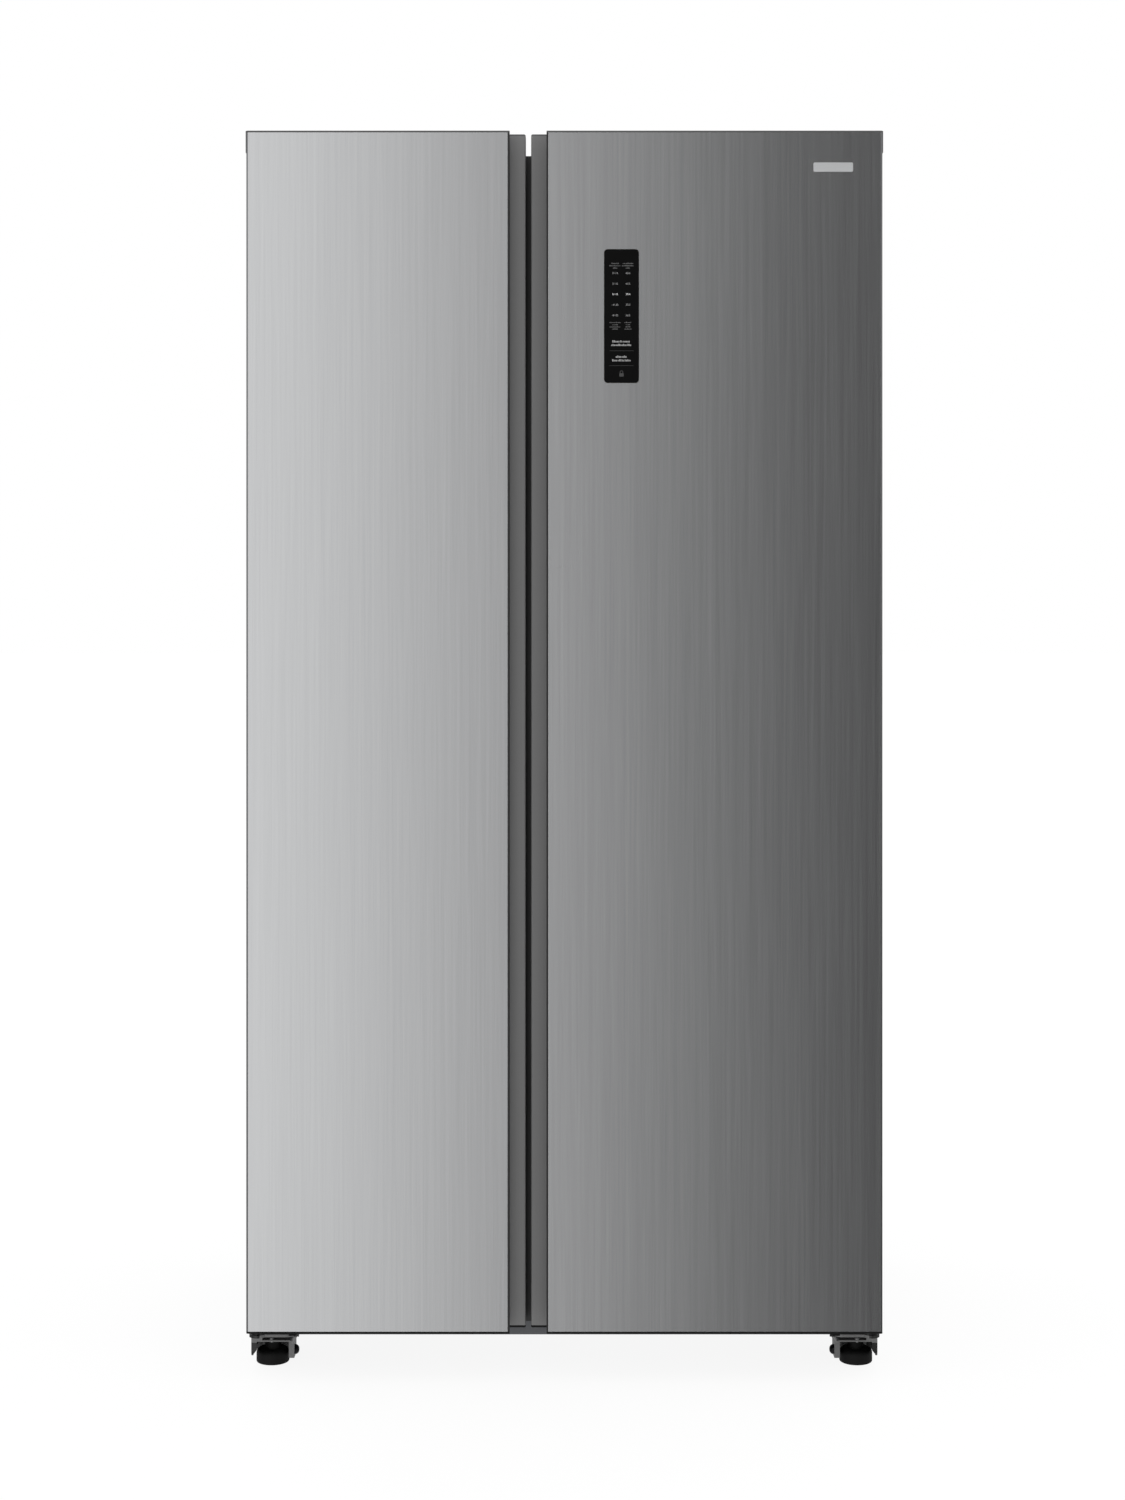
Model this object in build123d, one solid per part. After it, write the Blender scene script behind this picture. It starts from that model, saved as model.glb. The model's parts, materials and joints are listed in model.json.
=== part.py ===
from build123d import *
import os

# Side by side refrigerator: a foamed steel cabinet with a narrow freezer on the left and a wide
# fridge on the right, each closed by a flat door that hangs on its outer corner and has a recessed
# finger grip along its inner edge.
# Frame: origin on the floor under the middle of the object, +X to the viewer's right, +Y to the
# back, +Z up. Lengths are in millimetres. Doors, hinges, feet and rollers are drawn for the left
# side and mirrored in X for the right side.

# ---- driving dimensions -------------------------------------------------------------------------
WIDTH = 910.0
HEIGHT = 1786.0
DEPTH = 643.0

SHEET = 0.8  # cabinet and door steel
LINER = 1.5  # thermoformed plastic
CAP_LIP = 1.0  # how far a door's end cap stands proud of its side

DOOR_BOTTOM = 70.0
DOOR_THICK = 62.0
DOOR_STANDOFF = 11.0  # door back to cabinet front, filled by the gasket
DOOR_EDGE_FREEZER = -55.7  # inner edge of each door, either side of the centre gap
DOOR_EDGE_FRIDGE = -47.8

CABINET_BOTTOM = 46.5
CABINET_TOP = 1761.0
CABINET_HALF = 453.0
FOAM_BOTTOM = 66.0

FREEZER_X = (-396.0, -77.0)
FRIDGE_X = (-27.0, 408.0)
ROOM_Z = (100.0, 1706.0)  # both compartments
ROOM_BACK = 256.0

STEP_Y, STEP_Z = 65.0, 300.0  # the liner steps over the machine compartment
MACHINE_Y, MACHINE_TOP = 110.0, 252.0

SHELF_FRONT = -137.0
GLASS = 4.0
RAIL = 32.0  # width of the moulded drawer guides
RAIL_TOP = 484.0
FREEZER_SHELVES = (RAIL_TOP, 790.0, 1090.0, 1390.0)
FRIDGE_SHELVES = (RAIL_TOP, 730.0, 970.0, 1210.0, 1450.0)
BIN_LEVELS = (520.0, 800.0, 1080.0, 1360.0)
FAN_Z = 1420.0  # evaporator fan

PIVOT_IN = 13.0  # hinge axis to the door's side
PIVOT_BACK = 30.0  # hinge axis to the door's front
PIN_R = 5.0
BUSH_R = 5.06

LIP_SETBACK = (22.5, 22.3)  # grip lip to the door's inner edge: freezer, fridge
EDGE_TRIM = 2.0  # plastic that covers the front sheet's edge along the lip
GRIP_DEPTH = 30.0
LIP_THICK = 12.0
UNDERCUT = 16.0
GRIP_WALL = 2.0

FOOT_X, FOOT_R = 427.0, 24.0
FOOT_BEHIND = 99.5  # foot axis behind the door front

# ---- derived planes -----------------------------------------------------------------------------
FRONT = -DEPTH / 2
DOOR_BACK = FRONT + DOOR_THICK
CABINET_FRONT = DOOR_BACK + DOOR_STANDOFF
BACK_SHEET = DEPTH / 2 - 6.5  # rear covers stand proud of it
SIDE = -WIDTH / 2 + CAP_LIP  # outer side of the left door
PIVOT = (SIDE + PIVOT_IN, FRONT + PIVOT_BACK)
STRIP_Y = FRONT + GRIP_DEPTH
CAP_PLATE = 2.5
SKIN_Z = (DOOR_BOTTOM + 3.0, HEIGHT - CAP_PLATE)
FOOT_Y = FRONT + FOOT_BEHIND
PAN_Y = DOOR_BACK - 13.5  # inner face of the door liner between its ribs
RIB = 22.0  # width of the ribs round that pan
RIB_OUT = 28.5  # how far the ribs' foam stands behind the door


# ---- helpers ------------------------------------------------------------------------------------
def block(x, y, z):
    """A box between pairs of limits."""
    size = [b - a for a, b in (x, y, z)]
    centre = [(a + b) / 2 for a, b in (x, y, z)]
    return Pos(*centre) * Box(*size)


def rect(x, y):
    return Pos((x[0] + x[1]) / 2, (y[0] + y[1]) / 2) * Rectangle(x[1] - x[0], y[1] - y[0])


def prism(section, z):
    """A section in plan, stood between two heights."""
    return Pos(0, 0, z[0]) * extrude(section, z[1] - z[0])


def rod(x, y, z, radius, axis="z"):
    """A round bar along one axis: that axis is given as a pair of limits."""
    spans = {"x": x, "y": y, "z": z}[axis]
    turn = {"x": Rot(0, 90, 0), "y": Rot(90, 0, 0), "z": Rot(0, 0, 0)}[axis]
    middle = sum(spans) / 2
    place = {"x": (middle, y, z), "y": (x, middle, z), "z": (x, y, middle)}[axis]
    return Pos(*place) * turn * Cylinder(radius, spans[1] - spans[0])


def mirrored(shape):
    return mirror(shape, about=Plane.YZ)


def wall_frame(x, z, y, inset, radius):
    """A rounded rectangle in the XZ plane, pulled in by inset, between two depths."""
    wide, high = x[1] - x[0] - 2 * inset, z[1] - z[0] - 2 * inset
    sketch = RectangleRounded(wide, high, max(radius - inset, 1.0))
    solid = extrude(Plane.XZ * sketch, -(y[1] - y[0]))
    return Pos((x[0] + x[1]) / 2, y[0], (z[0] + z[1]) / 2) * solid


def tube(points, bend, radius):
    """A bent round tube through the points, with one bend radius."""
    path = FilletPolyline(*points, radius=bend)
    start = Plane(origin=path @ 0, z_dir=path % 0)
    return sweep(start * Circle(radius), path=path)


def save(shape, name):
    export_step(shape, f"parts/{name}.step")


# ---- cabinet ------------------------------------------------------------------------------------
def room(x, grow=0.0):
    """The space inside one compartment. grow gives the outside of its liner."""
    y_front = CABINET_FRONT - 1
    z_low, z_high = ROOM_Z[0] - grow, ROOM_Z[1] + grow
    whole = block((x[0] - grow, x[1] + grow), (y_front, ROOM_BACK + grow), (z_low, z_high))
    back_edges = whole.faces().sort_by(Axis.Y)[-1].edges()
    long_edges = whole.edges().filter_by(Axis.Y)
    whole = fillet(back_edges + long_edges, 16.0 + grow)
    step = block((x[0] - 9, x[1] + 9), (STEP_Y + grow, ROOM_BACK + 9), (z_low - 9, STEP_Z - grow))
    step = fillet(step.edges().filter_by(Axis.X).sort_by(Axis.Y)[:2].sort_by(Axis.Z)[-1:], 12.0)
    whole -= step
    rail_y = (CABINET_FRONT + 44 + grow, ROOM_BACK + 9)
    for edge, way in ((x[0], 1), (x[1], -1)):
        reach = sorted((edge - 9 * way, edge + (RAIL - grow) * way))
        rail = block(reach, rail_y, (z_low - 9, RAIL_TOP - grow))
        rail = fillet(rail.edges().filter_by(Axis.Z).sort_by(Axis.Y)[:2], 8.0)
        whole -= rail
    return whole


def ledges(x, shelves, shelf_back):
    """Moulded shelf supports and drawer runners on both walls of a compartment."""
    out = []
    for edge, way in ((x[0], 1), (x[1], -1)):
        for level in shelves[1:]:
            reach = sorted((edge, edge + 12 * way))
            ledge = block(reach, (SHELF_FRONT + 10, shelf_back), (level - 9, level))
            out.append(fillet(ledge.edges().filter_by(Axis.Y).sort_by(Axis.Z)[:1], 2.0))
        inner = edge + RAIL * way
        for z, back in (((ROOM_Z[0], 105.7), STEP_Y), ((293.0, 301.7), 180.0)):
            out.append(block(sorted((inner, inner + 11 * way)), (SHELF_FRONT + 9, back), z))
    return out


def liner(x, shelves, shelf_back):
    hollow = room(x)
    shell = room(x, LINER) - hollow
    shell &= block((x[0] - 9, x[1] + 9), (CABINET_FRONT, ROOM_BACK + 9), (0, CABINET_TOP))
    for ledge in ledges(x, shelves, shelf_back):
        shell += ledge & hollow
    return shell


def cabinet_shell():
    """One sheet over the top and down both sides, with the front frame round both openings."""
    outer = block((-CABINET_HALF, CABINET_HALF), (CABINET_FRONT, BACK_SHEET), (CABINET_BOTTOM, CABINET_TOP))
    outer = fillet(outer.edges().filter_by(Axis.Y).sort_by(Axis.Z)[-2:], 3.0)
    side = CABINET_HALF - SHEET
    hollow = block((-side, side), (CABINET_FRONT + SHEET, BACK_SHEET + 1), (0, CABINET_TOP - SHEET))
    hollow = fillet(hollow.edges().filter_by(Axis.Y).sort_by(Axis.Z)[-2:], 2.2)
    sheet = outer - hollow - room(FREEZER_X, LINER) - room(FRIDGE_X, LINER)
    sheet -= block((-side, side), (CABINET_FRONT - 1, CABINET_FRONT + 2), (0, FOAM_BOTTOM))
    return sheet


def rear_panel():
    """Back sheet, bent in over the machine compartment and down its front wall."""
    x = (-CABINET_HALF + SHEET, CABINET_HALF - SHEET)
    back = block(x, (BACK_SHEET - SHEET, BACK_SHEET), (MACHINE_TOP, CABINET_TOP - 3))
    roof = block(x, (MACHINE_Y, BACK_SHEET), (MACHINE_TOP - SHEET, MACHINE_TOP))
    bulkhead = block(x, (MACHINE_Y, MACHINE_Y + SHEET), (FOAM_BOTTOM, MACHINE_TOP))
    return back + roof + bulkhead


def cabinet_foam():
    side = CABINET_HALF - SHEET
    y = (CABINET_FRONT + SHEET, BACK_SHEET - SHEET)
    body = block((-side, side), y, (FOAM_BOTTOM, CABINET_TOP - 3))
    body -= block((-CABINET_HALF, CABINET_HALF), (MACHINE_Y, BACK_SHEET), (0, MACHINE_TOP))
    return body - room(FREEZER_X, LINER) - room(FRIDGE_X, LINER)


def roller_pin_x(side):
    return (side * 400 - 18, side * 400 + 18)


def base_frame():
    """Front beam, side sills, floor sheet, compressor plate and the ears of the rear rollers."""
    side, sheet = CABINET_HALF - SHEET, 1.5
    frame = block((-side, side), (CABINET_FRONT, CABINET_FRONT + sheet), (CABINET_BOTTOM, FOAM_BOTTOM))
    frame += block((-side, side), (CABINET_FRONT, MACHINE_Y), (FOAM_BOTTOM - sheet, FOAM_BOTTOM))
    hem = (CABINET_BOTTOM, CABINET_BOTTOM + sheet)
    frame += block((-side, side), (CABINET_FRONT, CABINET_FRONT + 22), hem)
    plate = block((-side, side), (MACHINE_Y - 12, BACK_SHEET - 2), (56.0, 58.0))
    plate += block((-side, side), (BACK_SHEET - 4, BACK_SHEET - 2), (56.0, 72.0))
    for x in range(-300, 301, 150):
        plate -= Pos(x, MACHINE_Y + 30, 57) * Box(60, 8, 6)
    frame += plate + block((-side, side), (MACHINE_Y - 12, MACHINE_Y - 10), (56.0, FOAM_BOTTOM))
    for way in (-1, 1):
        wall = sorted((way * side, way * (side - sheet)))
        lip = sorted((way * side, way * (side - 20)))
        frame += block(wall, (CABINET_FRONT, BACK_SHEET - 2), (CABINET_BOTTOM, FOAM_BOTTOM))
        frame += block(lip, (CABINET_FRONT + 120, BACK_SHEET - 2), hem)
        for ear in (-14, 14):
            x = way * 400 + ear
            tab = block((x - 1, x + 1), (262.0, 308.0), (10.0, 56.0))
            tab = fillet(tab.edges().filter_by(Axis.X).sort_by(Axis.Z)[:2], 12.0)
            frame += tab
        frame -= rod(roller_pin_x(way), 285.0, 22.0, 4.0, "x")
    return frame


def machine_cover():
    """Ribbed and slotted cover over the machine compartment."""
    x = (-CABINET_HALF + 2, CABINET_HALF - 2)
    cover = block(x, (BACK_SHEET, BACK_SHEET + 1.5), (60.0, MACHINE_TOP + 14))
    cover += block((x[0] + 30, x[1] - 30), (BACK_SHEET, BACK_SHEET + 4), (80.0, MACHINE_TOP - 6))
    cover -= block((x[0] + 32, x[1] - 32), (BACK_SHEET - 1, BACK_SHEET + 2.5), (82.0, MACHINE_TOP - 8))
    rows = (112, 152, 192)
    cover -= Compound([Pos(sx, BACK_SHEET, sz) * Box(6, 12, 30) for sx in range(-380, 330, 14) for sz in rows])
    cover -= rod(375.0, (BACK_SHEET - 5, BACK_SHEET + 9), 112.0, 9.0, "y")
    return cover


def cord_gland():
    """Strain relief bush for the mains lead, held in the machine cover."""
    gland = rod(375.0, (BACK_SHEET - 4, BACK_SHEET + 4), 112.0, 8.9, "y")
    gland += rod(375.0, (BACK_SHEET + 4, BACK_SHEET + 6.5), 112.0, 12.0, "y")
    gland = chamfer(gland.faces().sort_by(Axis.Y)[-1].edges(), 1.0)
    return gland - rod(375.0, (BACK_SHEET - 5, BACK_SHEET + 8), 112.0, 4.25, "y")


def electronics_cover():
    y = (BACK_SHEET, BACK_SHEET + 6.5)
    cover = block((150.0, 410.0), y, (1480.0, 1660.0))
    cover = fillet(cover.edges().filter_by(Axis.Y), 10.0)
    cover = fillet(cover.faces().sort_by(Axis.Y)[-1].edges(), 2.5)
    cover -= block((155.0, 405.0), (BACK_SHEET - 1, BACK_SHEET + 4.5), (1485.0, 1655.0))
    for z in (1540, 1555, 1570, 1585, 1600):
        cover -= Pos(280, BACK_SHEET + 5, z) * Box(120, 8, 4)
    return cover


# ---- cooling machinery --------------------------------------------------------------------------
def compressor():
    """Welded steel pot on a four footed plate with rubber grommets."""
    x, y, base = -250.0, 212.0, 58.0
    pot = Pos(x, y, base + 86) * Cylinder(68, 120)
    pot = fillet(pot.edges().filter_by(GeomType.CIRCLE), 30.0)
    seam = Pos(x, y, base + 88) * Cylinder(71, 8)
    plate = Pos(x, y, base + 18) * Box(190, 120, 3)
    plate = fillet(plate.edges().filter_by(Axis.Z), 14.0)
    pot += seam + plate + Pos(x, y, base + 24) * Cylinder(40, 16)
    for dx in (-80, 80):
        for dy in (-45, 45):
            pot += Pos(x + dx, y + dy, base + 8.5) * Cylinder(11, 17)
    relay = Pos(x + 78, y, base + 92) * Box(34, 60, 62)
    pot += fillet(relay.edges().filter_by(Axis.Z), 4.0)
    return pot


def condenser_coil():
    """Two layers of serpentine tube with wire stiffeners, beside the fan."""
    coil = None
    for y in (165.0, 215.0, 265.0):
        points = []
        for i, z in enumerate((105.0, 130.0, 155.0, 180.0, 205.0, 230.0)):
            ends = (90.0, 385.0) if i % 2 == 0 else (385.0, 90.0)
            points += [(ends[0], y, z), (ends[1], y, z)]
        run = tube(points, 12.0, 2.5)
        coil = run if coil is None else coil + run
    for x in range(110, 370, 20):
        for z in (105.0, 130.0, 155.0, 180.0, 205.0, 230.0):
            coil += rod(x, (158.0, 272.0), z + 2.8, 0.9, "y")
    return coil


def condenser_fan_shroud():
    plate = block((18.0, 22.0), (135.0, 295.0), (88.0, 246.0))
    plate -= rod((10.0, 30.0), 215.0, 168.0, 60.0, "x")
    ring = rod((22.0, 40.0), 215.0, 168.0, 63.0, "x") - rod((20.0, 41.0), 215.0, 168.0, 60.0, "x")
    spokes = block((18.0, 21.0), (151.0, 279.0), (163.0, 173.0))
    spokes += block((18.0, 21.0), (210.0, 220.0), (104.0, 232.0))
    motor = rod((-14.0, 20.0), 215.0, 168.0, 24.0, "x")
    shaft = rod((20.0, 36.0), 215.0, 168.0, 2.5, "x")
    base = block((12.0, 28.0), (135.0, 295.0), (58.0, 62.0))
    base += block((18.0, 22.0), (135.0, 295.0), (58.0, 90.0))
    return plate + ring + spokes + motor + shaft + base


def fan_blade(hub, reach, wide, bore):
    """A pressed fan along +Z: a hub with pitched blades, on a shaft."""
    fan = Pos(0, 0, 0) * Cylinder(hub, wide)
    blade = Pos((hub + reach) / 2 - 2, 0, 0) * Rot(28, 0, 0) * Box(reach - hub + 4, wide * 1.9, 1.6)
    for turn in range(0, 360, 72):
        fan += Rot(0, 0, turn) * blade
    fan &= Cylinder(reach, wide * 1.4)
    return fan - Cylinder(bore, wide * 2)


def condenser_fan_blade():
    return Pos(30, 215, 168) * Rot(0, 90, 0) * fan_blade(14.0, 55.0, 12.0, 2.58)


def drain_pan():
    pan = block((70.0, 420.0), (125.0, 300.0), (58.2, 84.0))
    pan = fillet(pan.edges().filter_by(Axis.Z), 12.0)
    hollow = block((72.0, 418.0), (127.0, 298.0), (60.2, 90.0))
    return pan - fillet(hollow.edges().filter_by(Axis.Z), 10.0)


def evaporator():
    """Finned coil behind the freezer's rear cover."""
    x = (-366.0, -107.0)
    coil = None
    for y in (216.0, 240.0):
        points = []
        for i, z in enumerate(range(520, 841, 40)):
            ends = x if i % 2 == 0 else (x[1], x[0])
            points += [(ends[0], y, z), (ends[1], y, z)]
        run = tube(points, 19.0, 4.0)
        coil = run if coil is None else coil + run
    for fin in range(-344, -125, 12):
        coil += block((fin - 0.3, fin + 0.3), (206.0, 250.0), (508.0, 852.0))
    return coil


def evaporator_cover():
    """Freezer rear wall: a tray over the coil, with air slots, a fan grille and the fan's motor."""
    x, z = (FREEZER_X[0] + 18, FREEZER_X[1] - 18), (RAIL_TOP + 6, ROOM_Z[1] - 17)
    tray = block(x, (196.0, ROOM_BACK - 0.3), z) - block(
        (x[0] + 2, x[1] - 2), (198.5, ROOM_BACK), (z[0] + 2, z[1] - 2)
    )
    tray = fillet(tray.faces().sort_by(Axis.Y)[0].edges(), 2.0)
    middle = sum(x) / 2
    rows = (660, 675, 940, 955, 1240, 1255)
    vents = [Pos(middle + dx, 197, vz) * Box(70, 9, 6) for dx in (-90, 90) for vz in rows]
    vents += [Pos(middle + dx, 197, 1600) * Box(60, 9, 6) for dx in (-70, 0, 70)]
    vents += [Pos(middle, 197, FAN_Z + dz) * Box(86, 9, 5) for dz in range(-30, 31, 12)]
    tray -= Compound(vents)
    motor = rod(middle, (238.0, ROOM_BACK - 0.3), FAN_Z, 22.0, "y")
    shaft = rod(middle, (212.0, 240.0), FAN_Z, 2.5, "y")
    return Compound([tray, motor + shaft])


def evaporator_fan_blade():
    middle = sum(FREEZER_X) / 2
    return Pos(middle, 222, FAN_Z) * Rot(90, 0, 0) * fan_blade(13.0, 50.0, 12.0, 2.58)


def fridge_air_duct():
    """Ducted column on the fridge's back wall, with outlets above each shelf."""
    middle = sum(FRIDGE_X) / 2
    x, z = (middle - 55, middle + 55), (STEP_Z + 15, ROOM_Z[1] - 17)
    duct = block(x, (230.0, ROOM_BACK - 0.3), z)
    duct = fillet(duct.edges().filter_by(Axis.Z).sort_by(Axis.Y)[:2], 8.0)
    duct -= block((x[0] + 2, x[1] - 2), (232.5, ROOM_BACK), (z[0] + 2, z[1] - 2))
    vents = [Pos(middle, 231, level + dz) * Box(64, 9, 6) for level in FRIDGE_SHELVES for dz in (110, 124)]
    return duct - Compound(vents)


def lamp(x):
    middle = sum(x) / 2
    lens = block((middle - 62, middle + 62), (-60.0, -12.0), (ROOM_Z[1] - 7, ROOM_Z[1]))
    lens = fillet(lens.edges().filter_by(Axis.Z), 10.0)
    return fillet(lens.faces().sort_by(Axis.Z)[0].edges(), 2.5)


# ---- shelves and drawers ------------------------------------------------------------------------
def shelf_glass(x, level, back):
    pane = block((x[0] + 3, x[1] - 3), (SHELF_FRONT + 3, back), (level, level + GLASS))
    return fillet(pane.edges().filter_by(Axis.Z).sort_by(Axis.Y)[-2:], 14.0)


def shelf_trim(x, level):
    """Front moulding that grips the edge of the glass."""
    trim = block((x[0] + 2, x[1] - 2), (SHELF_FRONT, SHELF_FRONT + 16), (level + 0.2, level + GLASS + 9))
    trim = fillet(trim.edges().filter_by(Axis.X).sort_by(Axis.Y)[:2], 3.0)
    return trim - block((x[0], x[1]), (SHELF_FRONT + 3, 0), (level, level + GLASS))


def tub(x, y, z, wall, radius):
    """An open topped box with rounded corners."""
    outer = block(x, y, z)
    outer = fillet(outer.edges().filter_by(Axis.Z), radius)
    inner = block(
        (x[0] + wall, x[1] - wall), (y[0] + wall, y[1] - wall), (z[0] + wall, z[1] + 9)
    )
    inner = fillet(inner.edges().filter_by(Axis.Z), radius - wall)
    return outer - inner


def drawer(x, back, z):
    """Sliding tub with a thick front that has a finger recess under its top edge."""
    side = (x[0] + RAIL + 2, x[1] - RAIL - 2)
    box = tub(side, (SHELF_FRONT + 14, back), z, 2.5, 12.0)
    face = block(side, (SHELF_FRONT + 7, SHELF_FRONT + 17), z)
    face = fillet(face.edges().filter_by(Axis.Y), 7.0)
    middle = sum(side) / 2
    grip = block((middle - 60, middle + 60), (SHELF_FRONT, SHELF_FRONT + 13), (z[1] - 34, z[1] - 12))
    grip = fillet(grip.edges().filter_by(Axis.Y), 9.0)
    return box + face - grip


def door_bin(pan_x, level):
    """Balcony between the door's ribs: deep tray with a rounded front."""
    x, y = (pan_x[0] + 1.5, pan_x[1] - 1.5), (PAN_Y + 0.5, -152.0)
    outer = fillet(block(x, y, (level, level + 92)).edges().filter_by(Axis.Z).sort_by(Axis.Y)[-2:], 26.0)
    inner = block((x[0] + 2.5, x[1] - 2.5), (y[0] + 2.5, y[1] - 2.5), (level + 3, level + 99))
    inner = fillet(inner.edges().filter_by(Axis.Z).sort_by(Axis.Y)[-2:], 23.5)
    return outer - inner


# ---- doors, drawn left handed -------------------------------------------------------------------
class Door:
    """Limits of one door in its left handed frame."""

    def __init__(self, edge, setback, opening):
        self.edge = edge
        self.lip = edge - setback
        self.grip_x = self.lip - UNDERCUT - GRIP_WALL
        self.opening = opening
        self.rib_x = (opening[0] + 8, opening[1] - 8)
        self.rib_z = (ROOM_Z[0] + 8, ROOM_Z[1] - 8)
        self.pan_x = (self.rib_x[0] + RIB, self.rib_x[1] - RIB)


def grip_air(door, clear=0.0):
    """Plan of the finger recess: the open notch and the undercut behind the front sheet."""
    slot_x = (door.lip - UNDERCUT - clear, door.lip + 1)
    slot = rect(slot_x, (FRONT + LIP_THICK - clear, STRIP_Y + clear))
    slot = fillet(slot.vertices().sort_by(Axis.X)[:2], GRIP_DEPTH / 2 - LIP_THICK / 2 + clear - 0.1)
    return slot + rect((door.lip, door.edge + 1), (FRONT - 1, STRIP_Y))


def front_corners(plan, side_radius, lip_radius=1.0):
    """Rounds a plan's two front corners, at the door's outer side and at the grip's lip."""
    plan = fillet(plan.vertices().sort_by(Axis.Y)[:2].sort_by(Axis.X)[:1], side_radius)
    return fillet(plan.vertices().sort_by(Axis.X)[-2:].sort_by(Axis.Y)[:1], lip_radius)


def door_section(door, back):
    """Plan of the whole door, with its front corners rounded."""
    plan = front_corners(rect((SIDE, door.lip), (FRONT, STRIP_Y + 5)), 3.0)
    rear = rect((SIDE, door.edge), (STRIP_Y, back))
    rear = fillet(rear.vertices().sort_by(Axis.X)[-2:].sort_by(Axis.Y)[:1], 2.5)
    return plan + rear - grip_air(door)


def skin_section(door):
    """One sheet: down the side, over the front and hemmed back behind the grip's edge trim."""
    edge = door.lip - EDGE_TRIM
    plan = front_corners(rect((SIDE, edge), (FRONT, 0)), 3.0)
    inside = front_corners(rect((SIDE + SHEET, edge - SHEET), (FRONT + SHEET, 1)), 3.0 - SHEET, 1.0 - SHEET)
    middle = (SIDE + door.lip) / 2
    kept = rect((SIDE - 1, middle), (FRONT - 1, DOOR_BACK - LINER))
    kept += rect((middle, edge + 1), (FRONT - 1, FRONT + LIP_THICK - GRIP_WALL))
    return (plan - inside) & kept


def grip_section(door):
    """Plastic profile that lines the recess, covers the lip's edge and closes the door's inner side."""
    wall = GRIP_WALL
    around = rect((door.lip - UNDERCUT - wall, door.lip), (FRONT + LIP_THICK - wall, STRIP_Y + wall))
    around = fillet(around.vertices().sort_by(Axis.X)[:2], GRIP_DEPTH / 2 - LIP_THICK / 2 + wall - 0.1)
    trim = rect((door.lip - EDGE_TRIM, door.lip), (FRONT, FRONT + LIP_THICK))
    around += fillet(trim.vertices().sort_by(Axis.X)[-2:].sort_by(Axis.Y)[:1], 1.0)
    floor = rect((door.lip - 1, door.edge), (STRIP_Y, STRIP_Y + wall))
    side = rect((door.edge - wall, door.edge), (STRIP_Y, DOOR_BACK - LINER))
    profile = around + floor + side
    corner = profile.vertices().sort_by_distance((door.edge, STRIP_Y, 0))[0]
    return fillet(corner, 2.5) - grip_air(door)


def back_shape(door, grow):
    """The door's rear face as a solid: flat flange, ribs round the edge and a sunk pan."""
    slab = block((SIDE - 9, door.edge + 9), (FRONT, DOOR_BACK - LINER + grow), (0, HEIGHT))
    rib_y = (DOOR_BACK - LINER - 5, DOOR_BACK - LINER + RIB_OUT + grow)
    ribs = wall_frame(door.rib_x, door.rib_z, rib_y, LINER - grow, 22.0)
    ribs = fillet(ribs.faces().sort_by(Axis.Y)[-1].edges(), 5.0)
    pan_y = (PAN_Y - LINER + grow, DOOR_BACK + 60)
    pan = wall_frame(door.rib_x, door.rib_z, pan_y, RIB - LINER + grow, 30.0)
    return slab + ribs - pan


def hinge_pocket():
    """Room at the door's top corner that the hinge arm and its cover sweep as the door turns."""
    return block((SIDE - 4, SIDE + 28), (FRONT + 7.5, DOOR_BACK + 40), (CABINET_TOP - 4, HEIGHT + 9))


def door_top_cap(door):
    """Dark end cap: top plate, side lip, hinge pocket and the upper bush."""
    plan = door_section(door, DOOR_BACK)
    plate = prism(plan, (SKIN_Z[1], HEIGHT))
    edge = plate.edges().filter_by(Axis.Y).sort_by(Axis.X)[-1:]
    plate = fillet(edge, CAP_PLATE - 0.1)
    lip = block((SIDE - CAP_LIP, SIDE + 1), (FRONT + 3, FRONT + 7.5), (HEIGHT - 31, HEIGHT))
    lip -= block((SIDE, SIDE + 9), (FRONT, FRONT + 9), (0, SKIN_Z[1]))
    pocket = hinge_pocket()
    walls = block((SIDE + SHEET, SIDE + 29.5), (FRONT + 6, DOOR_BACK - LINER), (CABINET_TOP - 5.5, HEIGHT))
    boss = rod(PIVOT[0], PIVOT[1], (CABINET_TOP - 28, CABINET_TOP - 5), 9.0)
    cap = plate + lip + walls + boss - pocket
    return cap - rod(PIVOT[0], PIVOT[1], (CABINET_TOP - 29, HEIGHT), BUSH_R)


def door_bottom_cap(door):
    """Black end cap with the lower bush and a small stop lug."""
    plate = prism(door_section(door, DOOR_BACK), (DOOR_BOTTOM, SKIN_Z[0]))
    boss = rod(PIVOT[0], PIVOT[1], (SKIN_Z[0], DOOR_BOTTOM + 28), 9.0)
    shape = [(-394.0, 71.0), (-380.0, 71.0), (-380.0, 69.0), (-385.0, 64.5), (-394.0, 64.5)]
    plate += wall_plate(shape, (FRONT + 8, FRONT + 34))
    return plate + boss - rod(PIVOT[0], PIVOT[1], (0, DOOR_BOTTOM + 27), BUSH_R)


def door_skin(door):
    skin = prism(skin_section(door), SKIN_Z)
    return skin - block((SIDE - 9, SIDE + 29.5), (FRONT + 6, 0), (CABINET_TOP - 5.5, HEIGHT))


def door_liner(door):
    shell = back_shape(door, LINER) - back_shape(door, 0.0)
    shell &= block((SIDE, door.edge), (FRONT + 20, 0), SKIN_Z)
    return shell - hinge_pocket()


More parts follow.
